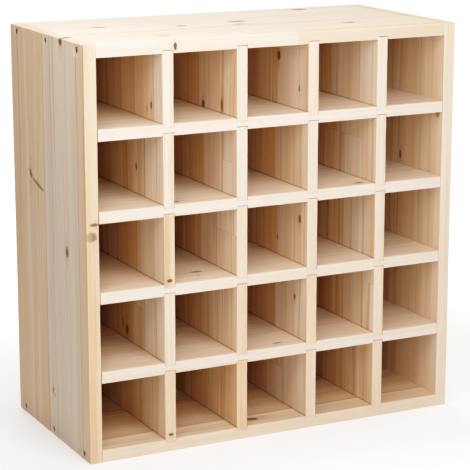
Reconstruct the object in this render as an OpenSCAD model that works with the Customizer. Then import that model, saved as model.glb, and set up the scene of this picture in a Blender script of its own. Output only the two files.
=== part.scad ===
// Wine rack in solid pine: a case of two sides, a top and a bottom, four full-width shelves
// and twenty short dividers that stand in grooves, closed by a thin plywood back.
// Origin: centre of the underside. +Z is up, -Y is the open front, +X is to the right.

/* [Compartments] */
// Compartments side by side
columns = 5; // [2:1:6]
// Compartments one above the other
rows = 5; // [2:1:6]
// Clear width and height of one compartment
cell = 86; // [80:0.5:110]

/* [Boards] */
// Depth of the whole rack, front to back
rack_depth = 250; // [200:1:320]
// Thickness of the two sides
side_t = 16; // [14:0.5:22]
// Thickness of the top and bottom panels
panel_t = 16; // [14:0.5:22]
// Thickness of the shelves and dividers
board_t = 14.5; // [13:0.5:18]
// Radius that the long edges of every board are eased to
ease_r = 0.8; // [0.4:0.1:2]

/* [Grooves] */
// Depth of the grooves that hold the divider ends
groove_depth = 4; // [2:0.5:5]
// How much wider each groove is than its divider
groove_play = 0.6; // [0.2:0.1:1]
// Gap left above the upper end of each divider
seat_gap = 0.8; // [0.3:0.1:1.5]
// Gap between each shelf end and the side
shelf_end_gap = 0.8; // [0.2:0.1:1.5]

/* [Back] */
// Thickness of the plywood back
back_t = 4; // [3:0.5:6]
// Width of the rebate that the back lies in
rebate_w = 8; // [6:0.5:10]
// Gap round the back and behind the shelves
back_gap = 0.5; // [0.2:0.1:1]
// Pins along each edge of the back
pins_per_edge = 5; // [3:1:8]
// Length of a back pin
pin_length = 20; // [14:1:25]
// Diameter of a back pin
pin_d = 1.4; // [1.2:0.1:2]

/* [Screws] */
// Thread diameter of the countersunk screws
screw_d = 4; // [3:0.5:5]
// Length of the countersunk screws
screw_length = 40; // [30:1:50]
// Distance from the front and back edges to the outer screws
screw_inset = 22; // [18:1:40]
// How far the screw heads are sunk below the surface
screw_sunk = 0.8; // [0.2:0.1:1.5]

/* [Dowels] */
// Diameter of the shelf dowels
dowel_d = 6; // [5:1:6]
// Length of the shelf dowels
dowel_length = 30; // [24:1:36]
// Distance from the front and back edges to the dowels
dowel_inset = 40; // [30:1:70]

/* [Hidden] */
pitch = cell + board_t;
inner_w = columns * cell + (columns - 1) * board_t;
inner_h = rows * cell + (rows - 1) * board_t;
rack_w = inner_w + 2 * side_t;
rack_h = inner_h + 2 * panel_t;
front_y = -rack_depth / 2;
back_y = rack_depth / 2;
board_back_y = back_y - back_t - back_gap;
board_depth = board_back_y - front_y;
board_mid_y = (front_y + board_back_y) / 2;
cut = 1;              // how far a cutting shape runs past the face it opens
fit = 0.1;            // how much wider a hole is than the screw, dowel or pin in it
round_fn = 32;
small_fn = 24;

screw_head_d = 2 * screw_d;
screw_head_h = screw_head_d / 2 - screw_d / 2;
screw_tip_h = screw_d * 1.5;
recess_w = screw_d * 0.28;
recess_depth = screw_d * 0.45;
dowel_in_side = 10;
dowel_hole_spare = 1;
dowel_chamfer = 0.6;
pin_head_d = 2.2 * pin_d;
pin_head_h = 0.6;
pin_tip_h = 2 * pin_d;

screw_ys = [front_y + screw_inset, 0, back_y - screw_inset];
screw_zs = [panel_t / 2, rack_h - panel_t / 2];
dowel_ys = [front_y + dowel_inset, back_y - dowel_inset];

function floor_z(row) = panel_t + (row - 1) * pitch;
function shelf_mid_z(n) = floor_z(n) + cell + board_t / 2;
function divider_x(n) = -inner_w / 2 + n * pitch - board_t / 2;
function divider_name(row, n) = str("divider_", row, "_", n);
function shelf_name(n) = str("shelf_", n);
function spread(low, high, count) = [for (k = [0:count - 1]) low + (high - low) * (k + 0.5) / count];

pin_edge_x = rack_w / 2 - side_t + rebate_w / 2;
pin_edge_z = rack_h - panel_t + rebate_w / 2;
pin_spots = concat(
    [for (x = [-pin_edge_x, pin_edge_x], z = spread(panel_t, rack_h - panel_t, pins_per_edge)) [x, z]],
    [for (z = [rack_h - pin_edge_z, pin_edge_z], x = spread(-inner_w / 2, inner_w / 2, pins_per_edge)) [x, z]]
);

// Section of a board, centred, with its four corners eased.
module eased_section(w, d) {
    square([w - 2 * ease_r, d], center = true);
    square([w, d - 2 * ease_r], center = true);
    for (x = [-1, 1], y = [-1, 1])
        translate([x * (w / 2 - ease_r), y * (d / 2 - ease_r)]) circle(r = ease_r, $fn = small_fn);
}

// Board whose grain stands upright: t wide in X and d deep in Y, from z1 to z2.
module upright_board(x, y, z1, z2, t, d) {
    translate([x, y, z1]) linear_extrude(z2 - z1) eased_section(t, d);
}

// Board whose grain runs along X: l long, d deep in Y and t thick, centred on x = 0.
module lying_board(y, z, l, d, t) {
    translate([-l / 2, y, z]) rotate([90, 0, 90]) linear_extrude(l) eased_section(d, t);
}

// Turns a shape built along +Z so that it runs along +X or -X.
module along_x(direction) {
    rotate([0, direction * 90, 0]) children();
}

// Grooves for one row of dividers, cut groove_depth deep into the face at height z.
// The side of the face that holds wood is up (1) or down (-1).
module groove_row(z, wood) {
    groove_w = board_t + groove_play;
    for (n = [1:columns - 1])
        translate([divider_x(n) - groove_w / 2, front_y - cut, min(z, z + wood * groove_depth) - (wood > 0 ? cut : 0)])
            cube([groove_w, rack_depth + 2 * cut, groove_depth + cut]);
}

// Rebate that the back lies in, as one block the size of the back and its gap.
module back_rebate() {
    w = inner_w + 2 * rebate_w;
    h = inner_h + 2 * rebate_w;
    translate([-w / 2, back_y - back_t, panel_t - rebate_w]) cube([w, back_t + cut, h]);
}

module screw_body(extra) {
    shank_r = screw_d / 2 + extra;
    head_r = screw_head_d / 2 + extra;
    body_l = screw_length - screw_head_h - screw_tip_h;
    rotate_extrude($fn = round_fn)
        polygon([[0, 0], [head_r, 0], [shank_r, screw_head_h], [shank_r, screw_head_h + body_l],
                 [0.2, screw_length + extra], [0, screw_length + extra]]);
}

module screw_head_recess() {
    for (turn = [0, 90])
        rotate([0, 0, turn])
            translate([-screw_head_d * 0.3, -recess_w / 2, -cut])
                cube([screw_head_d * 0.6, recess_w, recess_depth + cut]);
}

module screw() {
    difference() {
        screw_body(0);
        screw_head_recess();
    }
}

// Hole for one screw: the countersink, the clearance and the pilot share the screw's outline.
module screw_hole() {
    screw_body(fit / 2);
    translate([0, 0, -screw_sunk - cut])
        cylinder(r = screw_head_d / 2 + fit / 2, h = screw_sunk + cut, $fn = round_fn);
}

// Puts its child at every screw of one side; direction is the way the screw points.
module at_screws(direction) {
    for (y = screw_ys, z = screw_zs)
        translate([-direction * (rack_w / 2 - screw_sunk), y, z]) along_x(direction) children();
}

module dowel() {
    translate([0, 0, dowel_chamfer]) cylinder(d = dowel_d, h = dowel_length - 2 * dowel_chamfer, $fn = round_fn);
    for (z = [0, dowel_length]) translate([0, 0, z]) mirror([0, 0, z > 0 ? 1 : 0])
        cylinder(d1 = dowel_d - 2 * dowel_chamfer, d2 = dowel_d, h = dowel_chamfer, $fn = round_fn);
}

module dowel_hole() {
    translate([0, 0, -dowel_hole_spare])
        cylinder(d = dowel_d + fit, h = dowel_length + 2 * dowel_hole_spare, $fn = round_fn);
}

// Puts its child at every dowel of one side; direction points from the side into the shelf.
module at_dowels(direction) {
    for (n = [1:rows - 1], y = dowel_ys)
        translate([-direction * (inner_w / 2 + dowel_in_side), y, shelf_mid_z(n)]) along_x(direction) children();
}

module pin() {
    rotate_extrude($fn = small_fn)
        polygon([[0, 0], [pin_head_d / 2, 0], [pin_head_d / 2, pin_head_h], [pin_d / 2, pin_head_h],
                 [pin_d / 2, pin_length - pin_tip_h], [0.1, pin_length], [0, pin_length]]);
}

module pin_hole() {
    cylinder(d = pin_d + fit, h = pin_length + cut, $fn = small_fn);
}

// Puts its child at every pin, head at the back face and point towards the front.
module at_pins() {
    for (spot = pin_spots)
        translate([spot[0], back_y, spot[1]]) rotate([90, 0, 0]) children();
}

module side(direction) {
    difference() {
        upright_board(-direction * (rack_w - side_t) / 2, 0, 0, rack_h, side_t, rack_depth);
        back_rebate();
        at_screws(direction) screw_hole();
        at_dowels(direction) dowel_hole();
        at_pins() pin_hole();
    }
}

module left_side() {
    color("#cdb18c") side(1);
}

module right_side() {
    color("#dcc5a3") side(-1);
}

// Top or bottom panel: z is its middle, face the height of its inner face.
module end_panel(z, face, wood) {
    difference() {
        lying_board(0, z, inner_w, rack_depth, panel_t);
        groove_row(face, wood);
        back_rebate();
        at_screws(1) screw_hole();
        at_screws(-1) screw_hole();
        at_pins() pin_hole();
    }
}

module top_panel() {
    color("#ecdcc4") end_panel(rack_h - panel_t / 2, rack_h - panel_t, 1);
}

module bottom_panel() {
    color("#e2cfb2") end_panel(panel_t / 2, panel_t, -1);
}

module shelf(n) {
    color("#e6d2b3") difference() {
        lying_board(board_mid_y, shelf_mid_z(n), inner_w - 2 * shelf_end_gap, board_depth, board_t);
        groove_row(floor_z(n) + cell, 1);
        groove_row(floor_z(n + 1), -1);
        at_dowels(1) dowel_hole();
        at_dowels(-1) dowel_hole();
    }
}

module divider(row, n) {
    color("#dfc49c")
        upright_board(divider_x(n), board_mid_y, floor_z(row) - groove_depth,
                      floor_z(row) + cell + groove_depth - seat_gap, board_t, board_depth);
}

module back_panel() {
    w = inner_w + 2 * (rebate_w - back_gap);
    h = inner_h + 2 * (rebate_w - back_gap);
    color("#c9a77a") difference() {
        translate([-w / 2, back_y - back_t, rack_h / 2 - h / 2]) cube([w, back_t, h]);
        at_pins() pin_hole();
        at_pins() translate([0, 0, -cut]) cylinder(d = pin_head_d + fit, h = pin_head_h + cut, $fn = small_fn);
    }
}

module left_screws() {
    color("#c9b26a") at_screws(1) screw();
}

module right_screws() {
    color("#c9b26a") at_screws(-1) screw();
}

module shelf_dowels() {
    color("#d8b98a") for (direction = [1, -1]) at_dowels(direction) dowel();
}

module back_pins() {
    color("#a9a9ad") at_pins() pin();
}

left_side();
right_side();
top_panel();
bottom_panel();
back_panel();
for (n = [1:rows - 1])
    shelf(n);
for (row = [1:rows], n = [1:columns - 1])
    divider(row, n);
left_screws();
right_screws();
shelf_dowels();
back_pins();
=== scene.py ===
import math

import bmesh
import bpy
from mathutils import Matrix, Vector, noise


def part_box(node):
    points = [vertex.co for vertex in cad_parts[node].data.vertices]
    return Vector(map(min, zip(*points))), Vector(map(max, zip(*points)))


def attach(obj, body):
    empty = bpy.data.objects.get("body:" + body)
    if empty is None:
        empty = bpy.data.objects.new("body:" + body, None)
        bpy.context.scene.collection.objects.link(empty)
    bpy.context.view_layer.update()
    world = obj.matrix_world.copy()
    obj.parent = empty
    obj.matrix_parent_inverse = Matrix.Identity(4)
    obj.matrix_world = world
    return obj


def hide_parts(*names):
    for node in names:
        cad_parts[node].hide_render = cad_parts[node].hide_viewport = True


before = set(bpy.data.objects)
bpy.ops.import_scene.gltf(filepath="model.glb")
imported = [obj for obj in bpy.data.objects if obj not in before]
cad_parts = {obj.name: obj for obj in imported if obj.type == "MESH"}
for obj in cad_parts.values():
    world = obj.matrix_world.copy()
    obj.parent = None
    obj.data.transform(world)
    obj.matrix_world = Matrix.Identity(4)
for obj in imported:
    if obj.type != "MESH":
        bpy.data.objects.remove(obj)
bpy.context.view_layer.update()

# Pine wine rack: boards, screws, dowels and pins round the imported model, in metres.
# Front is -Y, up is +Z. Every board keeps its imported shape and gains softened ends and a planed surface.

MM = 0.001
COLUMNS = 5
ROWS = 5

# In millimetres, as in the CAD.
GROOVE = 4.0           # how deep the divider ends stand in the grooves
SEAT_GAP = 0.8         # left free above a divider
SCREW_HEAD = 4.0       # radius
DOWEL_RADIUS = 3.0
DOWEL_LENGTH = 30.0
PIN_HEAD = 1.54        # radius
PINS_ON_AN_EDGE = 5
PINNED_LENGTH = 0.8    # the share of each edge of the back that its pins span


# ---------------------------------------------------------------- camera and light

def aim(thing, target):
    """Turns a camera or a light, both of which look along -Z, towards a point."""
    thing.rotation_euler = (Vector(target) - thing.location).to_track_quat("-Z", "Y").to_euler()


CAMERA_PLACE = (-1.0516, -2.0887, 0.7908)
CAMERA_TURN = 26.78     # degrees to the right of straight ahead
CAMERA_TILT = 12.71     # degrees down
LENS = 138.4
SENSOR = 36
LENS_SHIFT = -0.04


def make_camera():
    data = bpy.data.cameras.new("camera")
    camera = bpy.data.objects.new("camera", data)
    bpy.context.scene.collection.objects.link(camera)
    turn, tilt = math.radians(CAMERA_TURN), math.radians(CAMERA_TILT)
    camera.location = CAMERA_PLACE
    look = Vector((math.sin(turn) * math.cos(tilt), math.cos(turn) * math.cos(tilt), -math.sin(tilt)))
    camera.rotation_euler = look.to_track_quat("-Z", "Y").to_euler()
    data.lens = LENS
    data.sensor_width = SENSOR
    data.shift_y = LENS_SHIFT
    data.clip_start, data.clip_end = 0.05, 50
    bpy.context.scene.camera = camera


# Name, azimuth (0 in front of the rack, 90 on its right), elevation, distance, diameter and watts.
SOFT_BOXES = (
    ("front low", 0, 25, 0.95, 0.5, 1.8),
    ("front high", 0, 45, 0.95, 0.5, 1.85),
    ("front left", -30, 12, 2.4, 0.6, 6.2),
    ("left", -48, 32, 0.95, 0.5, 2.0),
    ("left high", -78, 60, 0.70, 0.3, 0.75),
    ("right", 90, 60, 2.4, 1.0, 17),
    ("rear", 170, 45, 2.4, 1.0, 17),
)
ROOM_LIGHT = 0.2       # strength of the even light from all round
BACKDROP = 2.0         # strength of the same white where the camera sees it


def soft_light(name, azimuth, elevation, distance, size, watts):
    """A round soft box aimed at the middle of the rack."""
    middle = Vector((0, 0, 0.26))
    turn, rise = math.radians(azimuth), math.radians(elevation)
    away = Vector((math.sin(turn) * math.cos(rise), -math.cos(turn) * math.cos(rise), math.sin(rise)))
    data = bpy.data.lights.new(name, "AREA")
    data.shape = "DISK"
    data.size = size
    data.energy = watts
    light = bpy.data.objects.new(name, data)
    bpy.context.scene.collection.objects.link(light)
    light.visible_camera = False
    light.location = middle + away * distance
    aim(light, middle)


def print_curve(settings):
    """A gentle S curve: deeper shade inside the cells and soft highlights on the front edges.

    Each pair is a brightness and how it is shown."""
    settings.use_curve_mapping = True
    mapping = settings.curve_mapping
    curve = mapping.curves[3]
    for value, shown in ((0.03, 0.018), (0.09, 0.09), (0.2, 0.235), (0.4, 0.47), (0.7, 0.76)):
        curve.points.new(value, shown)
    curve.points[-1].location = (1.0, 0.92)
    mapping.extend = "EXTRAPOLATED"
    mapping.update()


def make_studio():
    scene = bpy.context.scene
    scene.view_settings.view_transform = "Standard"
    print_curve(scene.view_settings)
    world = bpy.data.worlds.new("studio")
    scene.world = world
    world.use_nodes = True
    g = Graph(world.node_tree)
    seen = g.node("ShaderNodeLightPath").outputs["Is Camera Ray"]
    background = world.node_tree.nodes["Background"].inputs
    g.feed(background["Strength"], g.remap(seen, 0.0, 1.0, ROOM_LIGHT, BACKDROP))
    background["Color"].default_value = (1, 1, 1, 1)
    for box in SOFT_BOXES:
        soft_light(*box)


def floor_material():
    """Matt white floor, lifted to full white away from the rack, as a lit studio sweep is.

    The lift shows to the camera only and throws no light on the rack."""
    material, g, shader = new_material("pale floor")
    shader.inputs["Base Color"].default_value = (0.93, 0.93, 0.93, 1)
    shader.inputs["Roughness"].default_value = 0.9
    shader.inputs["Emission Color"].default_value = (1, 1, 1, 1)
    away = g.vector("LENGTH", g.vector("MULTIPLY", g.place(), (1.0, 1.5, 0.0)))
    lift = g.remap(away, 0.3, 1.3, 0.22, 1.0, smooth=True)
    seen = g.node("ShaderNodeLightPath").outputs["Is Camera Ray"]
    g.feed(shader.inputs["Emission Strength"], g.times(lift, seen))
    return material


FLOOR_REACH = 6.0      # from the middle to each edge, in metres


def make_floor():
    bm = bmesh.new()
    bmesh.ops.create_grid(bm, x_segments=1, y_segments=1, size=FLOOR_REACH)
    mesh = bpy.data.meshes.new("floor")
    bm.to_mesh(mesh)
    bm.free()
    floor = bpy.data.objects.new("floor", mesh)
    bpy.context.scene.collection.objects.link(floor)
    mesh.materials.append(floor_material())


# ---------------------------------------------------------------- node helpers

class Graph:
    """A short way to write a node tree: each call adds one node and gives back its output."""

    def __init__(self, tree):
        self.tree = tree

    def node(self, kind, **settings):
        made = self.tree.nodes.new(kind)
        for key, value in settings.items():
            setattr(made, key, value)
        return made

    def feed(self, socket, value):
        if isinstance(value, bpy.types.NodeSocket):
            self.tree.links.new(value, socket)
        elif value is not None:
            socket.default_value = value

    def math(self, operation, a, b=None, clamp=False):
        made = self.node("ShaderNodeMath", operation=operation, use_clamp=clamp)
        for socket, value in zip(made.inputs, (a, b)):
            self.feed(socket, value)
        return made.outputs[0]

    def times(self, a, b):
        return self.math("MULTIPLY", a, b)

    def plus(self, a, b, clamp=False):
        return self.math("ADD", a, b, clamp)

    def minus(self, a, b, clamp=False):
        return self.math("SUBTRACT", a, b, clamp)

    def vector(self, operation, a, b=None):
        made = self.node("ShaderNodeVectorMath", operation=operation)
        self.feed(made.inputs[0], a)
        if b is not None:
            self.feed(made.inputs[1], b)
        return made.outputs["Value" if operation == "LENGTH" else "Vector"]

    def place(self):
        """Where a point is on its piece, in metres from the rack's origin."""
        return self.node("ShaderNodeTexCoord").outputs["Object"]

    def facing(self):
        """The three parts of the direction that a face looks in."""
        return self.split(self.node("ShaderNodeNewGeometry").outputs["Normal"])

    def split(self, value):
        made = self.node("ShaderNodeSeparateXYZ")
        self.feed(made.inputs[0], value)
        return made.outputs[0], made.outputs[1], made.outputs[2]

    def join(self, x, y, z):
        made = self.node("ShaderNodeCombineXYZ")
        for socket, value in zip(made.inputs, (x, y, z)):
            self.feed(socket, value)
        return made.outputs[0]

    def noise(self, place, scale=1.0, detail=2.0, rough=0.5, seed=None):
        """Noise from 0 to 1; a seed moves it to another part of the pattern."""
        if seed is not None:
            place = self.vector("ADD", place, self.join(seed, seed, seed))
        made = self.node("ShaderNodeTexNoise", noise_dimensions="3D")
        self.feed(made.inputs["Vector"], place)
        made.inputs["Scale"].default_value = scale
        made.inputs["Detail"].default_value = detail
        made.inputs["Roughness"].default_value = rough
        return made.outputs[0]

    def drawn(self, place, scales, detail=2.0, rough=0.5, seed=None):
        """Noise drawn out along an axis: scales are how fast it changes along X, Y and Z."""
        return self.noise(self.vector("MULTIPLY", place, scales), 1.0, detail, rough, seed)

    def remap(self, value, low, high, to_low=0.0, to_high=1.0, smooth=False):
        made = self.node("ShaderNodeMapRange", clamp=True)
        made.interpolation_type = "SMOOTHSTEP" if smooth else "LINEAR"
        for key, v in zip(("Value", "From Min", "From Max", "To Min", "To Max"),
                          (value, low, high, to_low, to_high)):
            self.feed(made.inputs[key], v)
        return made.outputs[0]

    def mix(self, factor, a, b):
        """Colour a where the factor is 0 and colour b where it is 1."""
        made = self.node("ShaderNodeMix", data_type="RGBA", blend_type="MIX", clamp_factor=True)
        self.feed(made.inputs[0], factor)
        self.feed(made.inputs[6], a)
        self.feed(made.inputs[7], b)
        return made.outputs[2]

    def bump(self, shader, height, strength, distance):
        """Gives a surface fine relief; distance is its full height in metres."""
        made = self.node("ShaderNodeBump")
        made.inputs["Strength"].default_value = strength
        made.inputs["Distance"].default_value = distance
        self.feed(made.inputs["Height"], height)
        self.feed(shader.inputs["Normal"], made.outputs[0])


def new_material(name):
    """Makes a node material and gives back the material, its graph and its shader."""
    material = bpy.data.materials.new(name)
    material.use_nodes = True
    return material, Graph(material.node_tree), material.node_tree.nodes["Principled BSDF"]


def new_group(name, inputs, outputs, kind_of_tree="ShaderNodeTree"):
    """Makes a node group and gives back its graph, its input sockets and its output sockets."""
    tree = bpy.data.node_groups.new(name, kind_of_tree)
    for socket, kind, default in inputs:
        made = tree.interface.new_socket(socket, in_out="INPUT", socket_type=kind)
        if default is not None:
            made.default_value = default
    for socket, kind in outputs:
        tree.interface.new_socket(socket, in_out="OUTPUT", socket_type=kind)
    graph = Graph(tree)
    start = graph.node("NodeGroupInput")
    end = graph.node("NodeGroupOutput")
    return tree, graph, start.outputs, end.inputs


FLOAT = "NodeSocketFloat"
VECTOR = "NodeSocketVector"
COLOUR = "NodeSocketColor"
WHOLE = "NodeSocketInt"
SHAPE = "NodeSocketGeometry"


def use_group(graph, tree, **values):
    """Adds a group node; underscores in the keywords stand for spaces in the socket names."""
    made = graph.node("ShaderNodeGroup", node_tree=tree)
    for key, value in values.items():
        graph.feed(made.inputs[key.replace("_", " ")], value)
    return made.outputs


# ---------------------------------------------------------------- pine
#
# Inside the pine groups, place is in wood space, in metres:
# X runs along the grain, Y across the face of the board and Z through its thickness.

KNOT_LEAN = 0.35       # how far a knot drifts across the face on its way through the board
GRAIN_BEND = 0.82      # how far the grain is pushed aside; at 1 a knot would squeeze it flat


def knot_group():
    """One knot: the grain runs round it, and the knot and the stained wood around it come out as masks."""
    tree, g, given, out = new_group(
        "knot",
        [("Place", VECTOR, None), ("Along", FLOAT, 0.0), ("Across", FLOAT, 0.0), ("Radius", FLOAT, 0.004),
         ("Stretch", FLOAT, 1.3), ("Dark", FLOAT, 1.0), ("Angle", FLOAT, 0.0), ("Knot", FLOAT, 0.0),
         ("Halo", FLOAT, 0.0)],
        [("Place", VECTOR), ("Knot", FLOAT), ("Halo", FLOAT)])
    x, y, z = g.split(given["Place"])
    lean = g.times(z, KNOT_LEAN)
    dx = g.minus(x, given["Along"])
    dy = g.minus(g.minus(y, given["Across"]), lean)
    wobble = g.noise(given["Place"], 260.0, 2.0, 0.6)
    cosine, sine = g.math("COSINE", given["Angle"]), g.math("SINE", given["Angle"])
    length_wise = g.plus(g.times(dx, cosine), g.times(dy, sine))
    cross_wise = g.minus(g.times(dy, cosine), g.times(dx, sine))
    flat = g.join(g.math("DIVIDE", length_wise, given["Stretch"]), cross_wise, 0.0)
    distance = g.math("DIVIDE", g.vector("LENGTH", flat), given["Radius"])
    distance = g.plus(distance, g.times(g.minus(wobble, 0.5), 0.7))
    core = g.remap(distance, 1.12, 0.72, 0.0, 1.0, smooth=True)
    long_flat = g.join(g.math("DIVIDE", dx, g.times(given["Stretch"], 2.6)), dy, 0.0)
    far = g.math("DIVIDE", g.vector("LENGTH", long_flat), given["Radius"])
    halo = g.math("POWER", 2.718, g.times(g.times(far, far), -0.42))
    bend = g.times(g.times(dy, halo), -GRAIN_BEND)
    g.feed(out["Place"], g.join(x, g.plus(y, bend), z))
    g.feed(out["Knot"], g.math("MAXIMUM", given["Knot"], g.times(core, given["Dark"])))
    g.feed(out["Halo"], g.math("MAXIMUM", given["Halo"], g.times(halo, given["Dark"])))
    return tree


# Colours of the wood, from the palest strips to the knots.
PALE = (0.930, 0.800, 0.630, 1)
TAN = (0.800, 0.490, 0.240, 1)
ROSY = (0.850, 0.580, 0.400, 1)
GREY = (0.700, 0.610, 0.500, 1)
BROWN = (0.500, 0.260, 0.110, 1)
HEARTWOOD = (0.620, 0.340, 0.155, 1)
SHINE = (0.92, 0.80, 0.65, 1)
RESIN = (0.30, 0.13, 0.05, 1)
END_PALE = (0.80, 0.61, 0.43, 1)
END_DARK = (0.48, 0.28, 0.14, 1)
KNOT_STAIN = (0.50, 0.25, 0.10, 1)
KNOT_DARK = (0.085, 0.030, 0.012, 1)
KNOT_LIGHT = (0.340, 0.140, 0.050, 1)
GLUE_DARK = (0.100, 0.040, 0.018, 1)
# Painted shade for the corners where a divider meets a shelf or panel.
JOINT_SHADE = (0.22, 0.10, 0.045, 1)
CREAM = (0.87, 0.63, 0.38, 1)
EDGE_TAN = (0.79, 0.53, 0.30, 1)
# Painted light: the pale, washed-out colour of brightly lit wood, mixed over lit faces, edges and boards.
PAINTED_LIGHT_PALE = (0.915, 0.775, 0.675, 1)


def growth_rings(g, place, seed):
    """Distance from the heart of the tree, and how far a point is into the dark wood of its ring."""
    x, y, z = g.split(place)
    chance = g.node("ShaderNodeTexWhiteNoise", noise_dimensions="1D")
    g.feed(chance.inputs["W"], seed)
    chance_a, chance_b, chance_c = g.split(chance.outputs["Color"])
    # The heart lies off the strip, and slow waves along the grain bend the rings a little.
    slow = g.drawn(place, (3.2, 13.0, 13.0), seed=seed)
    wave = g.times(g.minus(slow, 0.5), 0.026)
    heart_y = g.remap(chance_a, 0.0, 1.0, -0.08, 0.08)
    heart_z = g.remap(chance_b, 0.0, 1.0, 0.022, 0.075)
    ry = g.plus(g.minus(y, heart_y), wave)
    rz = g.plus(g.plus(z, heart_z), g.times(wave, 0.5))
    radius = g.vector("LENGTH", g.join(ry, rz, 0.0))
    uneven = g.drawn(g.join(radius, x, 0.0), (95.0, 0.8, 0.0), seed=seed)
    width = g.remap(chance_c, 0.0, 1.0, 0.0016, 0.0034)
    turns = g.plus(g.math("DIVIDE", radius, width), g.times(uneven, 3.0))
    phase = g.math("FRACT", turns)
    late = g.times(g.remap(phase, 0.35, 0.86, 0.0, 1.0, smooth=True),
                  g.remap(phase, 0.99, 0.90, 0.0, 1.0, smooth=True))
    force = g.drawn(g.join(x, radius, 0.0), (1.5, 160.0, 0.0), 1.0, seed=seed)
    return radius, g.times(late, g.remap(force, 0.3, 0.7, 0.2, 1.0))


def pine_group():
    """Growth rings, bands, streaks and fibres of a planed pine board, with its knots and glue lines."""
    tree, g, given, out = new_group(
        "pine",
        [("Place", VECTOR, None), ("Seed", FLOAT, 0.0), ("Tone", FLOAT, 0.35), ("Rose", FLOAT, 0.3),
         ("Grey", FLOAT, 0.0), ("Bands", FLOAT, 1.0), ("Glue", FLOAT, 0.0), ("Knot", FLOAT, 0.0),
         ("Halo", FLOAT, 0.0), ("End", FLOAT, 0.0)],
        [("Colour", COLOUR), ("Height", FLOAT), ("Rough", FLOAT)])
    place, seed, bands = given["Place"], given["Seed"], given["Bands"]
    radius, late = growth_rings(g, place, seed)
    x = g.split(place)[0]

    # Bands a few rings wide, then streaks, fibres and flecks that follow the grain.
    by_ring = g.join(x, radius, 0.0)
    band = g.drawn(by_ring, (1.2, 85.0, 0.0), 2.0, 0.55, seed)
    heart = g.drawn(by_ring, (0.9, 150.0, 0.0), 1.0, 0.5, g.plus(seed, 4.0))
    stain = g.drawn(place, (4.0, 45.0, 45.0), seed=g.plus(seed, 3.0))
    streak = g.drawn(place, (7.0, 330.0, 330.0), 3.0, 0.6, seed)
    fibre = g.drawn(place, (60.0, 2100.0, 2100.0), 2.0, 0.6, seed)
    fleck = g.drawn(place, (75.0, 900.0, 900.0), 1.0, 0.5, g.plus(seed, 8.0))
    fleck = g.remap(fleck, 0.735, 0.79, 0.0, 1.0, smooth=True)

    swing = g.times(g.minus(band, 0.5), g.times(bands, 1.7))
    colour = g.mix(g.plus(given["Tone"], swing, clamp=True), PALE, TAN)
    rose = g.times(g.remap(stain, 0.35, 0.70, 0.1, 0.9), given["Rose"])
    colour = g.mix(rose, colour, ROSY)
    greyed = g.plus(g.remap(stain, 0.42, 0.22, 0.0, 0.35), given["Grey"], clamp=True)
    colour = g.mix(greyed, colour, GREY)
    strong = g.times(g.remap(heart, 0.58, 0.72, 0.0, 0.42, smooth=True), bands)
    colour = g.mix(strong, colour, HEARTWOOD)
    colour = g.mix(g.times(late, 0.26), colour, BROWN)
    colour = g.mix(g.remap(streak, 0.52, 0.80, 0.0, 0.26), colour, BROWN)
    colour = g.mix(g.remap(streak, 0.45, 0.22, 0.0, 0.25), colour, SHINE)
    colour = g.mix(g.remap(fibre, 0.50, 0.85, 0.0, 0.22), colour, BROWN)
    colour = g.mix(g.times(fleck, 0.50), colour, RESIN)
    end_colour = g.mix(g.times(late, 0.5), END_PALE, END_DARK)
    colour = g.mix(g.times(given["End"], 0.55), colour, end_colour)
    stained = g.times(g.minus(given["Halo"], 0.30, clamp=True), 0.60)
    colour = g.mix(stained, colour, KNOT_STAIN)
    knot_colour = g.mix(g.noise(place, 420.0, 2.0, 0.6), KNOT_DARK, KNOT_LIGHT)
    colour = g.mix(given["Knot"], colour, knot_colour)
    colour = g.mix(g.times(given["Glue"], 0.55), colour, GLUE_DARK)
    g.feed(out["Colour"], colour)

    # Relief: dark rings, fibres and streaks stand up, with the planer's ripple; joints and knots lie lower.
    planer = g.math("SINE", g.times(x, 3900.0))
    height = g.times(late, 0.35)
    for part, share in ((fibre, 0.35), (streak, 0.30), (planer, 0.02), (given["Glue"], -0.9),
                        (given["Knot"], -0.4)):
        height = g.plus(height, g.times(part, share))
    g.feed(out["Height"], height)
    rough = g.remap(fibre, 0.25, 0.8, 0.56, 0.74)
    g.feed(out["Rough"], g.minus(rough, g.times(given["Knot"], 0.18)))
    return tree


HIGHLIGHT_REACH = 0.0012          # how far in from an edge the painted highlight of the rounded arris reaches, in metres


def edge_highlight_group():
    """Painted highlight of the rounded arris: how close a point is to an edge of its board's box, 1 on the
    edge, 0 from about 2 mm away.
    """
    tree, g, given, out = new_group(
        "painted edge highlight", [("Place", VECTOR, None), ("Low", VECTOR, None), ("High", VECTOR, None)],
        [("Edge highlight", FLOAT)])
    from_low = g.vector("SUBTRACT", given["Place"], given["Low"])
    from_high = g.vector("SUBTRACT", given["High"], given["Place"])
    dx, dy, dz = g.split(g.vector("MINIMUM", from_low, from_high))
    # On an edge two of the three distances are small, so the middle one of the three tells.
    middle = g.math("MAXIMUM", g.math("MINIMUM", dx, dy), g.math("MINIMUM", g.math("MAXIMUM", dx, dy), dz))
    ragged = g.noise(given["Place"], 210.0, 3.0, 0.6)
    middle = g.minus(middle, g.times(ragged, HIGHLIGHT_REACH))
    g.feed(out["Edge highlight"], g.remap(middle, HIGHLIGHT_REACH, 0.0, 0.0, 1.0, smooth=True))
    return tree


KNOT = knot_group()
PINE = pine_group()
EDGE_HIGHLIGHT = edge_highlight_group()

# The axes of wood space for a board whose grain stands upright and for one that lies along X.
UPRIGHT, LYING = "upright", "lying"


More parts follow.
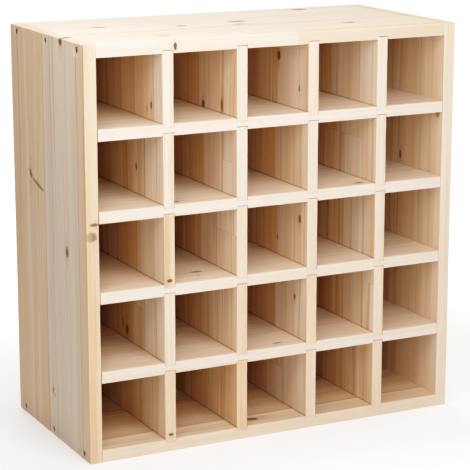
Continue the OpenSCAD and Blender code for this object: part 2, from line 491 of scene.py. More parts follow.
class Look:
    """How one board looks. All places are in millimetres from the rack's origin.

    strips: (where it starts across the face, tone from 0 pale to 1 tan, rose from 0 to 1, and grey from
    0 to 1 where there is any), front strip first.
    knots: (along the grain, across the face, radius, stretch, darkness from 0 to 1), and for a slanting
    one the angle in degrees between its long axis and the grain.
    bands: how strongly the wood's own bands show. white: how much painted light makes the whole board
    paler.
    front: how much painted light makes the front edge paler. outer: how tan the outer half of the front
    edge is, more so lower down, where this is painted shade.
    butt: (strip's front side, strip's rear side, place along the grain, change of tone below it) for a
    strip that is made of two lengths.
    seams: heights where the side faces meet a shelf or panel and painted shade is laid along the joint.
    joint: half the width of the line between two strips."""

    def __init__(self, seed, strips, knots=(), bands=1.0, front=0.3, outer=0.0, white=0.0, butt=None,
                 seams=(), joint=0.7):
        self.seed, self.strips, self.knots, self.seams, self.joint = seed, strips, knots, seams, joint
        self.bands, self.front, self.outer, self.white, self.butt = bands, front, outer, white, butt


# Steps of the seed that give each strip, and each length of a strip, grain of its own.
NEXT_STRIP, NEXT_LENGTH = 5.37, 2.9


def lay_strips(g, along, across, look):
    """Steps tone, rose, grey and seed from strip to strip, and marks the glue lines between them."""
    values = [(strip[1], strip[2], sum(strip[3:])) for strip in look.strips]
    tone, rose, grey = values[0]
    seed, glue = look.seed, 0.0
    edge_line, fade = look.joint * MM, 0.15 * look.joint * MM
    for number in range(1, len(values)):
        edge = look.strips[number][0] * MM
        past = g.math("GREATER_THAN", across, edge)
        steps = [new - old for new, old in zip(values[number], values[number - 1])]
        tone, rose, grey = (g.plus(value, g.times(past, step))
                            for value, step in zip((tone, rose, grey), steps))
        seed = g.plus(seed, g.times(past, NEXT_STRIP))
        gap = g.math("ABSOLUTE", g.minus(across, edge))
        glue = g.math("MAXIMUM", glue, g.remap(gap, edge_line, fade))
    if look.butt:
        low, high, height, change = look.butt
        within = g.times(g.math("GREATER_THAN", across, low * MM),
                        g.math("LESS_THAN", across, high * MM))
        below = g.times(within, g.math("LESS_THAN", along, height * MM))
        tone = g.plus(tone, g.times(below, change))
        seed = g.plus(seed, g.times(below, NEXT_LENGTH))
        gap = g.math("ABSOLUTE", g.minus(along, height * MM))
        line = g.times(within, g.remap(gap, 0.0004, 0.0001, 0.0, 0.6))
        glue = g.math("MAXIMUM", glue, line)
    return tone, rose, grey, seed, glue


def paint_lit_front(g, colour, look, grain, clear):
    """Paints light on the front edge, making it paler, with cream streaks and a tan outer half where the
    look asks for it.
    """
    at = g.place()
    x, y, z = g.split(at)
    # Painted light: faces that look to the front are made paler, as if lit more strongly; the cream streaks
    # are the wood's own.
    front = g.times(g.remap(g.facing()[1], -0.6, -0.9), clear)
    colour = g.mix(g.times(front, look.front), colour, PAINTED_LIGHT_PALE)
    scales, most = ((230.0, 1.0, 4.0), 0.70) if grain == UPRIGHT else ((4.0, 1.0, 230.0), 0.40)
    cream = g.remap(g.drawn(at, scales, 1.0, seed=look.seed), 0.46, 0.64, 0.0, most)
    colour = g.mix(g.times(front, cream), colour, CREAM)
    if look.outer:
        wander = g.drawn(at, (400.0, 400.0, 12.0))
        outer = g.remap(g.plus(x, g.times(wander, 0.004)), -0.2495, -0.2535)
        # Painted shade: the tan strengthens towards the bottom, where less light falls; the tan strip
        # itself is the wood's colour.
        lower = g.remap(z, 0.46, 0.26, 0.25 * look.outer, look.outer)
        colour = g.mix(g.times(g.times(outer, front), lower), colour, EDGE_TAN)
    return colour


def shade_seams(g, colour, look):
    """Paints shade where a divider's side faces meet the boards above and below: painted shade in the
    corners of the joints.
    """
    sideways = g.remap(g.math("ABSOLUTE", g.facing()[0]), 0.7, 0.9)
    z = g.split(g.place())[2]
    for height in look.seams:
        near = g.math("ABSOLUTE", g.minus(z, height * MM))
        shade = g.times(g.remap(near, 0.0018, 0.0003, 0.0, 0.55), sideways)
        colour = g.mix(shade, colour, JOINT_SHADE)
    return colour


def pine_material(node, grain, look):
    """Pine of one board, with its own strips and knots."""
    low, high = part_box(node)
    material, g, shader = new_material("pine " + node)
    at = g.place()
    x, y, z = g.split(at)
    middle = (Vector(low) + Vector(high)) / 2
    if grain == UPRIGHT:
        place, along, ends, heart = g.join(z, y, x), z, g.facing()[2], middle.x
    else:
        place, along, ends, heart = at, x, g.facing()[0], middle.z
    place = g.vector("SUBTRACT", place, (0, 0, heart))
    knot, halo = 0.0, 0.0
    for lengthwise, across, radius, stretch, dark, *slant in look.knots:
        made = use_group(g, KNOT, Place=place, Along=lengthwise * MM, Across=across * MM,
                         Radius=radius * MM, Stretch=stretch, Dark=dark, Angle=math.radians(sum(slant)),
                         Knot=knot, Halo=halo)
        place, knot, halo = made["Place"], made["Knot"], made["Halo"]
    tone, rose, grey, seed, glue = lay_strips(g, along, y, look)
    end = g.remap(g.math("ABSOLUTE", ends), 0.6, 0.9)
    pine = use_group(g, PINE, Place=place, Seed=seed, Tone=tone, Rose=rose, Grey=grey, Bands=look.bands,
                     Glue=glue, Knot=knot, Halo=halo, End=end)
    clear = g.minus(1.0, knot, clamp=True) if look.knots else 1.0
    # Painted light: the whole board is made paler by look.white, most on the top panel and least on the
    # bottom.
    colour = g.mix(g.times(clear, look.white), pine["Colour"], PAINTED_LIGHT_PALE)
    colour = paint_lit_front(g, colour, look, grain, clear)
    colour = shade_seams(g, colour, look)
    edge_highlight = use_group(g, EDGE_HIGHLIGHT, Place=at, Low=Vector(low), High=Vector(high))["Edge highlight"]
    # Painted highlight along the board's edges, where a rounded arris catches the light.
    colour = g.mix(g.times(edge_highlight, 0.25), colour, PAINTED_LIGHT_PALE)
    g.feed(shader.inputs["Base Color"], colour)
    g.feed(shader.inputs["Roughness"], pine["Rough"])
    shader.inputs["Specular IOR Level"].default_value = 0.35
    g.bump(shader, pine["Height"], 0.35, 0.00025)
    return material


# ---------------------------------------------------------------- plywood, steel and beech

VENEER_PALE = (0.74, 0.54, 0.34, 1)
VENEER_TAN = (0.62, 0.42, 0.24, 1)
VENEER_FLAME = (0.42, 0.24, 0.11, 1)
VENEER_PORE = (0.36, 0.20, 0.10, 1)
PLY_DARK = (0.30, 0.17, 0.08, 1)
BEECH_PALE = (0.72, 0.48, 0.31, 1)
BEECH_DEEP = (0.60, 0.38, 0.23, 1)
BEECH_FLECK = (0.34, 0.18, 0.09, 1)
ZINC_BRIGHT = (0.42, 0.32, 0.17, 1)
ZINC_DULL = (0.22, 0.16, 0.09, 1)
PIN_BRIGHT = (0.62, 0.62, 0.64, 1)
PIN_DULL = (0.40, 0.39, 0.38, 1)


def veneer_material():
    """Thin rotary-cut veneer of the plywood back: wide flames that run up and down, with fine pores."""
    material, g, shader = new_material("plywood veneer")
    at = g.place()
    flame = g.drawn(at, (9.0, 0.0, 1.6), 3.0, 0.5, 5.0)
    ring = g.math("FRACT", g.times(flame, 26.0))
    ring = g.times(g.remap(ring, 0.2, 0.85, 0.0, 1.0, smooth=True), g.remap(ring, 0.99, 0.88))
    fibre = g.drawn(at, (1600.0, 0.0, 45.0), 2.0, 0.6)
    cloud = g.drawn(at, (14.0, 0.0, 5.0), 3.0, 0.6, 9.0)
    # The sheet's edge shows its plies, one dark and one pale in each 1.33 mm.
    ply = g.math("GREATER_THAN", g.math("FRACT", g.times(g.split(at)[1], 750.0)), 0.5)
    edge = g.math("LESS_THAN", g.math("ABSOLUTE", g.facing()[1]), 0.5)
    colour = g.mix(cloud, VENEER_PALE, VENEER_TAN)
    colour = g.mix(g.times(ring, 0.35), colour, VENEER_FLAME)
    colour = g.mix(g.remap(fibre, 0.5, 0.8, 0.0, 0.35), colour, VENEER_PORE)
    colour = g.mix(g.times(g.times(ply, edge), 0.6), colour, PLY_DARK)
    g.feed(shader.inputs["Base Color"], colour)
    g.feed(shader.inputs["Roughness"], g.remap(fibre, 0.2, 0.8, 0.60, 0.78))
    shader.inputs["Specular IOR Level"].default_value = 0.3
    g.bump(shader, g.plus(g.times(ring, 0.4), fibre), 0.3, 0.0002)
    return material


def metal_material(name, bright, dull, base_rough):
    """Plated or drawn steel with fine scratches and a duller bloom."""
    material, g, shader = new_material(name)
    shader.inputs["Metallic"].default_value = 1.0
    at = g.place()
    bloom = g.noise(at, 700.0, 3.0, 0.6)
    scratch = g.drawn(at, (900.0, 5000.0, 5000.0), 2.0, 0.7)
    g.feed(shader.inputs["Base Color"], g.mix(g.remap(bloom, 0.35, 0.7), bright, dull))
    g.feed(shader.inputs["Roughness"], g.plus(base_rough, g.times(bloom, 0.22)))
    g.bump(shader, scratch, 0.2, 0.00005)
    return material


def beech_material():
    """Beech of the dowels: pinkish tan with short dark flecks along the length."""
    material, g, shader = new_material("beech dowel")
    at = g.place()
    tint = g.drawn(at, (60.0, 500.0, 500.0))
    fleck = g.drawn(at, (450.0, 2600.0, 2600.0), 1.0)
    colour = g.mix(tint, BEECH_PALE, BEECH_DEEP)
    colour = g.mix(g.remap(fleck, 0.60, 0.70, 0.0, 0.6), colour, BEECH_FLECK)
    g.feed(shader.inputs["Base Color"], colour)
    g.feed(shader.inputs["Roughness"], g.remap(tint, 0.2, 0.8, 0.58, 0.72))
    g.bump(shader, fleck, 0.25, 0.0001)
    return material


# ---------------------------------------------------------------- boards

# In metres.
WELD = 0.00001         # corners closer than this are one
ARRIS = 0.00045        # width of the softened edge round the ends and outer corners
NEAR_EDGE = 0.0013     # the grid's outermost line, measured from the board's edge
GRID_ACROSS = 0.011
GRID_ALONG = 0.016
SINK = 0.00004         # deepest hollow of a planed face
NIBBLE = 0.0003        # most that is worn off an outer corner
NIBBLED = 0.0009       # how far in from the edge that wear reaches
PLY_SEED = 2.0


def near_box_edge(point, low, high, reach):
    """True where a point is close to at least two faces of the board's box."""
    close = sum(min(point[k] - low[k], high[k] - point[k]) < reach for k in range(3))
    return close >= 2


def soften_ends(bm, low, high):
    """Bevels the sharp edges that run round the board's ends and its outer corners."""
    sharp = []
    for edge in bm.edges:
        if len(edge.link_faces) != 2 or edge.calc_face_angle_signed() < math.radians(50):
            continue
        middle = (edge.verts[0].co + edge.verts[1].co) / 2
        if near_box_edge(middle, low, high, ARRIS):
            sharp.append(edge)
    bmesh.ops.bevel(bm, geom=sharp, offset=ARRIS, segments=2, profile=0.5, affect="EDGES",
                    clamp_overlap=True)


def slice_board(bm, low, high, steps):
    """Cuts the faces into a grid, with one line close to each outer edge, so that they can be uneven."""
    for axis in range(3):
        length = high[axis] - low[axis]
        count = max(1, round(length / steps[axis]))
        inner = [low[axis] + NEAR_EDGE, high[axis] - NEAR_EDGE]
        lines = inner + [inner[0] + (inner[1] - inner[0]) * k / count for k in range(1, count)]
        for line in lines:
            point, normal = Vector((0, 0, 0)), Vector((0, 0, 0))
            point[axis], normal[axis] = line, 1
            bmesh.ops.bisect_plane(bm, geom=bm.verts[:] + bm.edges[:] + bm.faces[:], dist=WELD,
                                   plane_co=point, plane_no=normal)


def weather(bm, low, high, grain_axis, seed):
    """Lets the planed faces sink by up to SINK and wears the outer corners by up to NIBBLE more.

    Each point moves straight in from the widest face that it belongs to, so that small holes stay round."""
    shift = Vector((seed * 3.1, seed * 1.7, seed * 2.3))
    bm.normal_update()
    moves = []
    for vert in bm.verts:
        slow = Vector(vert.co) * 24
        slow[grain_axis] *= 0.3
        sink = (0.5 + 0.5 * noise.noise(slow + shift)) * SINK
        if near_box_edge(vert.co, low, high, NIBBLED):
            quick = Vector(vert.co) * 160
            quick[grain_axis] *= 0.5
            sink += max(0.0, noise.noise(quick + shift)) * NIBBLE
        widest = max(vert.link_faces, key=lambda face: face.calc_area())
        moves.append((vert, widest.normal * -sink))
    for vert, move in moves:
        vert.co += move


def finish_mesh(bm, name, material):
    mesh = bpy.data.meshes.new(name)
    bm.to_mesh(mesh)
    bm.free()
    mesh.shade_smooth()
    mesh.set_sharp_from_angle(angle=math.radians(38))
    mesh.materials.append(material)
    piece = bpy.data.objects.new(name, mesh)
    bpy.context.scene.collection.objects.link(piece)
    return piece


def make_board(node, grain, look):
    """Replaces a board's CAD node with the same board, softened, weathered and in its own pine."""
    low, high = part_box(node)
    bm = bmesh.new()
    bm.from_mesh(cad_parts[node].data)
    bmesh.ops.remove_doubles(bm, verts=bm.verts, dist=WELD)
    bmesh.ops.dissolve_limit(bm, angle_limit=math.radians(0.5), verts=bm.verts, edges=bm.edges)
    soften_ends(bm, low, high)
    grain_axis = 2 if grain == UPRIGHT else 0
    steps = [GRID_ACROSS] * 3
    steps[grain_axis] = GRID_ALONG
    slice_board(bm, low, high, steps)
    weather(bm, low, high, grain_axis, look.seed if look else PLY_SEED)
    material = pine_material(node, grain, look) if look else veneer_material()
    piece = finish_mesh(bm, "board_" + node, material)
    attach(piece, "root")
    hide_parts(node)


def make_case():
    make_board("left_side", UPRIGHT, Look(
        1.3, ((-125, 1.0, 0.8, 0.3), (-100, 0.30, 0.22, 0.52), (12, 0.82, 0.85, 0.15)),
        knots=((256, -57, 4.5, 1.6, 1.0), (324, 40, 2.6, 9.0, 0.8, 75), (334, 64, 3.6, 2.2, 0.95, 40),
               (61, 1, 2.6, 1.6, 0.8), (517, -48, 5.6, 1.1, 1.0), (288, -124, 3.4, 1.9, 0.75),
               (303, -125, 1.3, 1.6, 0.9), (56, -4, 1.8, 1.5, 0.6)),
        bands=1.5, front=0.15, outer=1.0, joint=0.9))
    make_board("right_side", UPRIGHT, Look(
        4.1, ((-125, 0.45, 0.5), (-70, 0.55, 0.5), (40, 0.45, 0.4)),
        knots=((401, -110, 6.0, 1.2, 0.6), (180, 60, 5.0, 1.4, 0.9), (330, -20, 3.5, 1.8, 0.8)),
        front=0.60))
    make_board("top_panel", LYING, Look(
        7.7, ((-125, 0.85, 0.0), (-112, 0.25, 0.4), (-76, 0.45, 0.3), (-22, 0.15, 0.6), (45, 0.40, 0.5)),
        knots=((-175, 31, 6.0, 1.8, 0.8), (-74, -2, 5.0, 1.6, 1.0), (12, 11, 6.5, 2.2, 0.8),
               (2, -17, 4.2, 2.4, 0.8), (-136, -84, 5.5, 2.0, 0.6), (153, 100, 7.0, 1.8, 0.8),
               (137, -65, 5.0, 2.2, 0.8), (-141, -125, 1.9, 1.3, 1.0)),
        bands=1.1, front=0.35, white=0.30, butt=(-126, -112, 28, -0.7)))
    # Its joint lines are drawn wide for open joints between strips; their darkness is partly painted shade.
    make_board("bottom_panel", LYING, Look(
        9.2, ((-125, 0.45, 0.3), (-87, 0.70, 0.2), (10, 0.45, 0.3), (70, 0.6, 0.2)),
        knots=((-24, -106, 4.6, 1.9, 0.9), (-29, -103, 2.6, 2.2, 0.6)),
        front=0.55, white=0.08, joint=1.8))
    make_board("back_panel", UPRIGHT, None)


# From the lowest shelf to the highest.
SHELF_LOOKS = (
    Look(12.4, ((-125, 0.34, 0.4), (-60, 0.46, 0.6), (20, 0.7, 0.3)),
         knots=((8, -112, 2.6, 2.6, 0.7),), front=0.85, white=0.2),
    Look(15.9, ((-125, 0.28, 0.4), (-84, 0.40, 0.6), (5, 0.55, 0.3), (66, 0.6, 0.3)),
         knots=((-94, -84, 3.6, 2.2, 0.9), (-99, -101, 1.8, 1.4, 0.8)), front=0.85, white=0.2),
    Look(18.2, ((-125, 0.22, 0.4), (-40, 0.42, 0.6), (44, 0.6, 0.3)),
         knots=((-135, -111, 3.0, 2.2, 0.8), (126, -114, 3.6, 2.2, 0.9)), front=0.9, white=0.2),
    Look(21.6, ((-125, 0.15, 0.4), (-92, 0.28, 0.5), (-10, 0.50, 0.3), (58, 0.6, 0.3)),
         front=0.95, white=0.25),
)


def make_shelves():
    for number, look in enumerate(SHELF_LOOKS, 1):
        make_board("shelf_%d" % number, LYING, look)


# Every key below is (row from the bottom, number from the left).
# The first two strips of each divider, as (where the strip ends, tone, rose).
DIVIDER_STRIPS = {
    (5, 1): ((-98, 0.05, 0.1), (-30, 0.60, 0.5)), (5, 2): ((-74, 0.50, 0.2), (18, 0.40, 0.9)),
    (5, 3): ((-100, 0.50, 0.2), (-76, 0.10, 0.6)), (5, 4): ((-80, 0.10, 0.3), (20, 0.45, 0.7)),
    (4, 1): ((-70, 0.15, 0.2), (-20, 0.45, 0.5)), (4, 2): ((-84, 0.12, 0.3), (14, 0.35, 0.5)),
    (4, 3): ((-90, 0.30, 0.4), (20, 0.45, 0.4)), (4, 4): ((-90, 0.40, 0.4), (20, 0.35, 0.4)),
    (3, 1): ((-95, 0.30, 0.5), (20, 0.40, 0.4)), (3, 2): ((-66, 0.14, 0.3), (25, 0.40, 0.6)),
    (3, 3): ((-92, 0.45, 0.3), (16, 0.40, 0.6)), (3, 4): ((-96, 0.50, 0.3), (-70, 0.12, 0.3)),
    (2, 1): ((-64, 0.12, 0.2), (22, 0.40, 0.5)), (2, 2): ((-90, 0.40, 0.4), (20, 0.45, 0.4)),
    (2, 3): ((-88, 0.24, 0.3), (20, 0.45, 0.5)), (2, 4): ((-95, 0.55, 0.3), (20, 0.40, 0.4)),
    (1, 1): ((-95, 0.45, 0.4), (20, 0.45, 0.4)), (1, 2): ((-80, 0.75, 0.2), (12, 0.60, 0.4)),
    (1, 3): ((-60, 0.34, 0.4), (20, 0.50, 0.5)), (1, 4): ((-92, 0.60, 0.3), (10, 0.50, 0.5)),
}
DIVIDER_KNOTS = {
    (5, 1): ((437, -88, 3.0, 1.8, 0.9), (431, -75, 2.0, 2.0, 0.6)),
    (5, 2): ((423, -26, 4.4, 1.3, 0.9), (428, -80, 3.0, 3.2, 1.0)),
    (5, 3): ((481, -43, 4.4, 1.5, 0.95), (445, -98, 2.6, 1.8, 0.7)),
    (4, 1): ((352, -40, 2.8, 1.8, 0.8),),
    (3, 1): ((222, -125, 1.3, 1.8, 1.0),),
    (3, 3): ((276, -102, 3.6, 1.7, 0.95), (240, -41, 2.4, 1.4, 0.6)),
    (2, 1): ((130, -4, 4.6, 1.5, 0.9), (136, 9, 2.6, 2.6, 0.7)),
    (2, 3): ((170, -90, 2.6, 1.5, 0.85),),
    (1, 1): ((22, -125, 1.2, 1.8, 1.0),),
}
DIVIDER_BUTTS = {
    (4, 2): (-110, -84, 360, -0.25), (4, 4): (-90, 20, 371, -0.2), (3, 2): (-125, -66, 268, 0.2),
    (2, 1): (-64, 22, 170, 0.2), (2, 4): (-125, -95, 181, -0.3), (1, 3): (-60, 20, 64, -0.25),
}
# Dividers whose fronts get little painted light, so that their tan stays.
TANNED_DIVIDERS = {(4, 1), (3, 1), (2, 2), (2, 3), (1, 1), (1, 2)}


STRIP, STRIP_STEP = 44, 3    # width of the second strip in row 0, and how much wider it is in each row up
NARROWEST = 12               # least width of the dark strip behind it


def stronger(tone):
    """Draws pale and tan strips further apart."""
    return 1.4 * tone - 0.15


def divider_look(row, number):
    """Two strips as listed, then a dark one and a plain one behind them. Upper rows get more painted light
    on their fronts, which makes them paler.
    """
    key = row, number
    low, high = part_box("divider_%d_%d" % key)
    (first, tone_a, rose_a), (second, tone_b, rose_b) = DIVIDER_STRIPS[key]
    deep = first + STRIP + STRIP_STEP * row
    strips = ((-125, stronger(tone_a), rose_a), (first, stronger(tone_b), rose_b + 0.1),
              (deep, 1.0, 0.25), (max(second, deep + NARROWEST), 0.70, 0.5))
    return Look(30.0 + row * 5.3 + number * 11.7, strips, knots=DIVIDER_KNOTS.get(key, ()), bands=1.35,
                front=0.10 if key in TANNED_DIVIDERS else 0.30 + 0.08 * row, butt=DIVIDER_BUTTS.get(key),
                seams=(low[2] / MM + GROOVE, high[2] / MM - GROOVE + SEAT_GAP))


def make_dividers():
    for row in range(1, ROWS + 1):
        for number in range(1, COLUMNS):
            look = divider_look(row, number)
            make_board("divider_%d_%d" % (row, number), UPRIGHT, look)


# ---------------------------------------------------------------- screws, dowels and pins

class Shapes(Graph):
    """Geometry Nodes helpers on top of the plain node helpers."""

    def out(self, kind, settings=None, **inputs):
        """Adds a node; underscores in the keywords stand for spaces in the socket names."""
        made = self.node(kind, **(settings or {}))
        for key, value in inputs.items():
            self.feed(made.inputs[key.replace("_", " ")], value)
        return made.outputs[0]

    def by_index(self, values):
        """A field that gives values[0] at point 0, values[1] at point 1 and so on."""
        index = self.out("GeometryNodeInputIndex")
        field = values[0]
        for number in range(1, len(values)):
            reached = self.math("GREATER_THAN", index, number - 0.5)
            rise = self.minus(values[number], values[number - 1])
            field = self.plus(field, self.times(reached, rise))
        return field

    def turned(self, steps, profile):
        """A round bar along +Z. steps are (distance along, radius); profile is a ring of radius 1."""
        line = self.out("GeometryNodeMeshLine", Count=len(steps))
        along = self.by_index([step[0] for step in steps])
        line = self.out("GeometryNodeSetPosition", Geometry=line, Position=self.join(0.0, 0.0, along))
        curve = self.out("GeometryNodeMeshToCurve", Mesh=line)
        radius = self.by_index([step[1] for step in steps])
        curve = self.out("GeometryNodeSetCurveRadius", Curve=curve, Radius=radius)
        radius = self.out("GeometryNodeInputRadius")
        return self.out("GeometryNodeCurveToMesh", Curve=curve, Profile_Curve=profile, Scale=radius,
                        Fill_Caps=True)

    def ring(self, sides):
        return self.out("GeometryNodeCurvePrimitiveCircle", Resolution=sides, Radius=1.0)

    def moved(self, shape, offset=(0, 0, 0), turn=(0, 0, 0)):
        return self.out("GeometryNodeTransform", Geometry=shape, Translation=offset, Rotation=turn)

    def joined(self, *shapes):
        made = self.node("GeometryNodeJoinGeometry")
        for shape in reversed(shapes):
            self.tree.links.new(shape, made.inputs[0])
        return made.outputs[0]

    def rows(self, wide, high, count_wide, count_high):
        """Points of an upright grid, centred on the origin, that faces along Y."""
        grid = self.out("GeometryNodeMeshGrid", Size_X=wide, Size_Y=high, Vertices_X=count_wide,
                        Vertices_Y=count_high)
        return self.moved(grid, turn=(math.pi / 2, 0, 0))


def new_shape_tree(name, inputs):
    """Starts a Geometry Nodes tree with named inputs and a geometry output."""
    tree, graph, given, end = new_group(name, [("Geometry", SHAPE, None)] + inputs, [("Geometry", SHAPE)],
                                        "GeometryNodeTree")
    return tree, Shapes(graph.tree), given, end


def close_tree(g, end, shape, material, *places):
    """Puts the shape at each (points, turn), makes it real and gives it its material."""
    placed = [g.out("GeometryNodeInstanceOnPoints", Points=points, Instance=shape, Rotation=turn)
              for points, turn in places]
    real = g.out("GeometryNodeRealizeInstances", Geometry=g.joined(*placed))
    g.feed(end["Geometry"], g.out("GeometryNodeSetMaterial", Geometry=real, Material=material))


def bake(tree, name, settings):
    """Runs a tree on an empty mesh with the given inputs and keeps the result as a plain mesh object."""
    holder = bpy.data.objects.new(name + "_holder", bpy.data.meshes.new(name + "_holder"))
    bpy.context.scene.collection.objects.link(holder)
    modifier = holder.modifiers.new("shape", "NODES")
    modifier.node_group = tree
    for socket in tree.interface.items_tree:
        if socket.in_out == "INPUT" and socket.name in settings:
            modifier[socket.identifier] = settings[socket.name]
    ready = holder.evaluated_get(bpy.context.evaluated_depsgraph_get())
    mesh = bpy.data.meshes.new_from_object(ready)
    holder.modifiers.remove(modifier)
    bpy.data.objects.remove(holder)
    mesh.name = name
    mesh.set_sharp_from_angle(angle=math.radians(35))
    piece = bpy.data.objects.new(name, mesh)
    bpy.context.scene.collection.objects.link(piece)
    return piece


def screw_bar(g, head, shank, length, rim, core, smooth, tip):
    """Head, neck, smooth shank and pointed core of a screw, from the top of its head along +Z."""
    neck = g.minus(head, shank)
    return g.turned([
        (0.0, g.minus(head, 0.00012)), (0.00012, head), (rim, head),
        (g.plus(neck, rim), shank), (smooth, shank), (g.plus(smooth, 0.0006), core),
        (tip, core), (length, 0.0001)], g.ring(28))


def cross_recess(g, bar, head, recess, slot):
    """Cuts a plain cross with a round hollow in its middle into the head."""
    span = g.times(head, 1.2)
    depth = g.times(recess, 2.0)
    hollow = g.out("GeometryNodeMeshCone", Vertices=16, Radius_Top=0.0011, Radius_Bottom=0.0014,
                   Depth=0.002)
    cutter = g.node("GeometryNodeMeshBoolean", operation="DIFFERENCE", solver="MANIFOLD")
    g.feed(cutter.inputs["Mesh 1"], bar)
    for turn in (0.0, math.pi / 2):
        block = g.moved(g.out("GeometryNodeMeshCube", Size=g.join(span, slot, depth)), turn=(0, 0, turn))
        g.feed(cutter.inputs["Mesh 2"], block)
    g.feed(cutter.inputs["Mesh 2"], g.moved(hollow, offset=(0, 0, -0.001)))
    return cutter.outputs[0]


def screw_thread(g, shank, core, start, end):
    """A ridge that winds round the core from start to end."""
    spiral = g.out("GeometryNodeCurveSpiral", Resolution=18, Rotations=12.0, Start_Radius=core,
                   End_Radius=core, Height=g.minus(end, start))
    ridge = g.out("GeometryNodeCurvePrimitiveCircle", Resolution=3, Radius=g.minus(shank, core))
    thread = g.out("GeometryNodeCurveToMesh", Curve=spiral, Profile_Curve=ridge, Fill_Caps=True)
    return g.moved(thread, offset=g.join(0.0, 0.0, start))


def screw_tree(material):
    """Countersunk wood screws in an upright grid, each turned to its own angle."""
    tree, g, given, end = new_shape_tree("wood screws", [
        ("Head radius", FLOAT, 0.004), ("Shank radius", FLOAT, 0.002), ("Length", FLOAT, 0.04),
        ("Rim", FLOAT, 0.0003), ("Recess", FLOAT, 0.0018), ("Slot", FLOAT, 0.0011), ("Side", FLOAT, 1.0),
        ("Across", FLOAT, 0.2), ("Up", FLOAT, 0.5), ("Face", FLOAT, 0.26), ("Middle", FLOAT, 0.26),
        ("Seed", WHOLE, 1)])
    head, shank, length, side = given["Head radius"], given["Shank radius"], given["Length"], given["Side"]
    core = g.times(shank, 0.72)
    tip = g.minus(length, g.times(shank, 3.0))
    smooth = g.times(length, 0.3)
    bar = screw_bar(g, head, shank, length, given["Rim"], core, smooth, tip)
    bar = cross_recess(g, bar, head, given["Recess"], given["Slot"])
    thread = screw_thread(g, shank, core, g.plus(smooth, 0.0004), tip)
    points = g.moved(g.rows(given["Across"], given["Up"], 3, 2), turn=(0, 0, math.pi / 2))
    face = g.join(g.times(side, given["Face"]), 0.0, given["Middle"])
    spin = g.node("FunctionNodeRandomValue", data_type="FLOAT")
    spin.inputs[3].default_value = math.pi
    g.feed(spin.inputs["Seed"], given["Seed"])
    inwards = g.join(0.0, g.times(side, -math.pi / 2), 0.0)
    turn = g.out("FunctionNodeRotateEuler", {"rotation_type": "EULER", "space": "LOCAL"}, Rotation=inwards,
                 Rotate_By=g.join(0.0, 0.0, spin.outputs[1]))
    close_tree(g, end, g.joined(bar, thread), material, (g.moved(points, offset=face), turn))
    return tree


def dowel_tree(material):
    """Fluted dowels with chamfered ends, in an upright grid at each side."""
    tree, g, given, end = new_shape_tree("fluted dowels", [
        ("Radius", FLOAT, 0.003), ("Length", FLOAT, 0.03), ("Chamfer", FLOAT, 0.0006),
        ("Flutes", WHOLE, 20), ("Start", FLOAT, 0.254), ("Across", FLOAT, 0.17), ("Up", FLOAT, 0.3),
        ("Count up", WHOLE, 4), ("Middle", FLOAT, 0.26)])
    radius, length, chamfer = given["Radius"], given["Length"], given["Chamfer"]
    ring = g.out("GeometryNodeCurveStar", Points=given["Flutes"], Inner_Radius=0.955, Outer_Radius=1.0)
    small = g.minus(radius, chamfer)
    dowel = g.turned([(0.0, small), (chamfer, radius), (g.minus(length, chamfer), radius),
                      (length, small)], ring)
    grid = g.moved(g.rows(given["Across"], given["Up"], 2, given["Count up"]), turn=(0, 0, math.pi / 2))
    places = []
    for side in (-1, 1):
        offset = g.join(g.times(given["Start"], float(side)), 0.0, given["Middle"])
        places.append((g.moved(grid, offset=offset), (0, -side * math.pi / 2, 0)))
    close_tree(g, end, dowel, material, *places)
    return tree


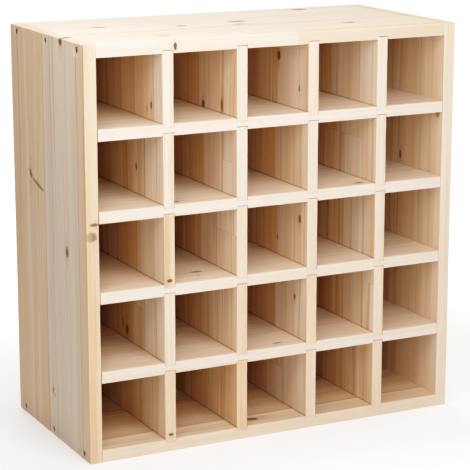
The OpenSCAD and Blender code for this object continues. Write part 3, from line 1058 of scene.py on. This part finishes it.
def pin_tree(material):
    """Round-headed pins along the four edges of the back."""
    tree, g, given, end = new_shape_tree("back pins", [
        ("Head radius", FLOAT, 0.0015), ("Head height", FLOAT, 0.0006), ("Radius", FLOAT, 0.0007),
        ("Length", FLOAT, 0.02), ("Half width", FLOAT, 0.25), ("Half height", FLOAT, 0.25),
        ("Row width", FLOAT, 0.4), ("Row height", FLOAT, 0.4), ("Each edge", WHOLE, 5),
        ("Back", FLOAT, 0.125), ("Middle", FLOAT, 0.26)])
    head, tall = given["Head radius"], given["Head height"]
    radius, length = given["Radius"], given["Length"]
    tip = g.minus(length, g.times(radius, 4.0))
    pin = g.turned([
        (0.0, g.times(head, 0.82)), (0.00015, head), (g.minus(tall, 0.0001), head),
        (tall, g.times(head, 0.9)), (g.plus(tall, 0.00002), radius), (tip, radius),
        (length, 0.00008)], g.ring(20))
    twice_wide = g.times(given["Half width"], 2.0)
    twice_high = g.times(given["Half height"], 2.0)
    uprights = g.rows(twice_wide, given["Row height"], 2, given["Each edge"])
    levels = g.rows(given["Row width"], twice_high, given["Each edge"], 2)
    points = g.moved(g.joined(uprights, levels), offset=g.join(0.0, given["Back"], given["Middle"]))
    close_tree(g, end, pin, material, (points, (math.pi / 2, 0, 0)))
    return tree


def make_screws():
    tree = screw_tree(metal_material("zinc plated steel", ZINC_BRIGHT, ZINC_DULL, 0.35))
    head = SCREW_HEAD * MM
    for side, node, seed in ((-1.0, "left_screws", 3), (1.0, "right_screws", 8)):
        low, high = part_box(node)
        piece = bake(tree, node + "_threaded", {
            "Head radius": head, "Length": high.x - low.x, "Side": side,
            "Across": high.y - low.y - 2 * head, "Up": high.z - low.z - 2 * head,
            "Face": max(abs(low.x), abs(high.x)), "Middle": (low.z + high.z) / 2, "Seed": seed})
        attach(piece, "root")
        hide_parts(node)


def make_dowels():
    tree = dowel_tree(beech_material())
    low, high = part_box("shelf_dowels")
    radius = DOWEL_RADIUS * MM
    piece = bake(tree, "shelf_dowels_fluted", {
        "Radius": radius, "Length": DOWEL_LENGTH * MM, "Start": high.x,
        "Across": high.y - low.y - 2 * radius, "Up": high.z - low.z - 2 * radius, "Count up": ROWS - 1,
        "Middle": (low.z + high.z) / 2})
    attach(piece, "root")
    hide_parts("shelf_dowels")


def make_pins():
    tree = pin_tree(metal_material("bright pin steel", PIN_BRIGHT, PIN_DULL, 0.30))
    low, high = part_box("back_pins")
    head = PIN_HEAD * MM
    left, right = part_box("left_side")[0].x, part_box("right_side")[1].x
    side_thickness, panel_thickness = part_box("left_side")[1].x - left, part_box("bottom_panel")[1].z
    inner_width = right - left - 2 * side_thickness
    inner_height = high.z + low.z - 2 * panel_thickness
    piece = bake(tree, "back_pins_round", {
        "Head radius": head, "Half width": (high.x - low.x) / 2 - head,
        "Half height": (high.z - low.z) / 2 - head, "Row width": inner_width * PINNED_LENGTH,
        "Row height": inner_height * PINNED_LENGTH, "Each edge": PINS_ON_AN_EDGE, "Back": high.y,
        "Middle": (low.z + high.z) / 2, "Length": high.y - low.y})
    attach(piece, "root")
    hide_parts("back_pins")


make_camera()
make_studio()
make_floor()
make_case()
make_shelves()
make_dividers()
make_screws()
make_dowels()
make_pins()
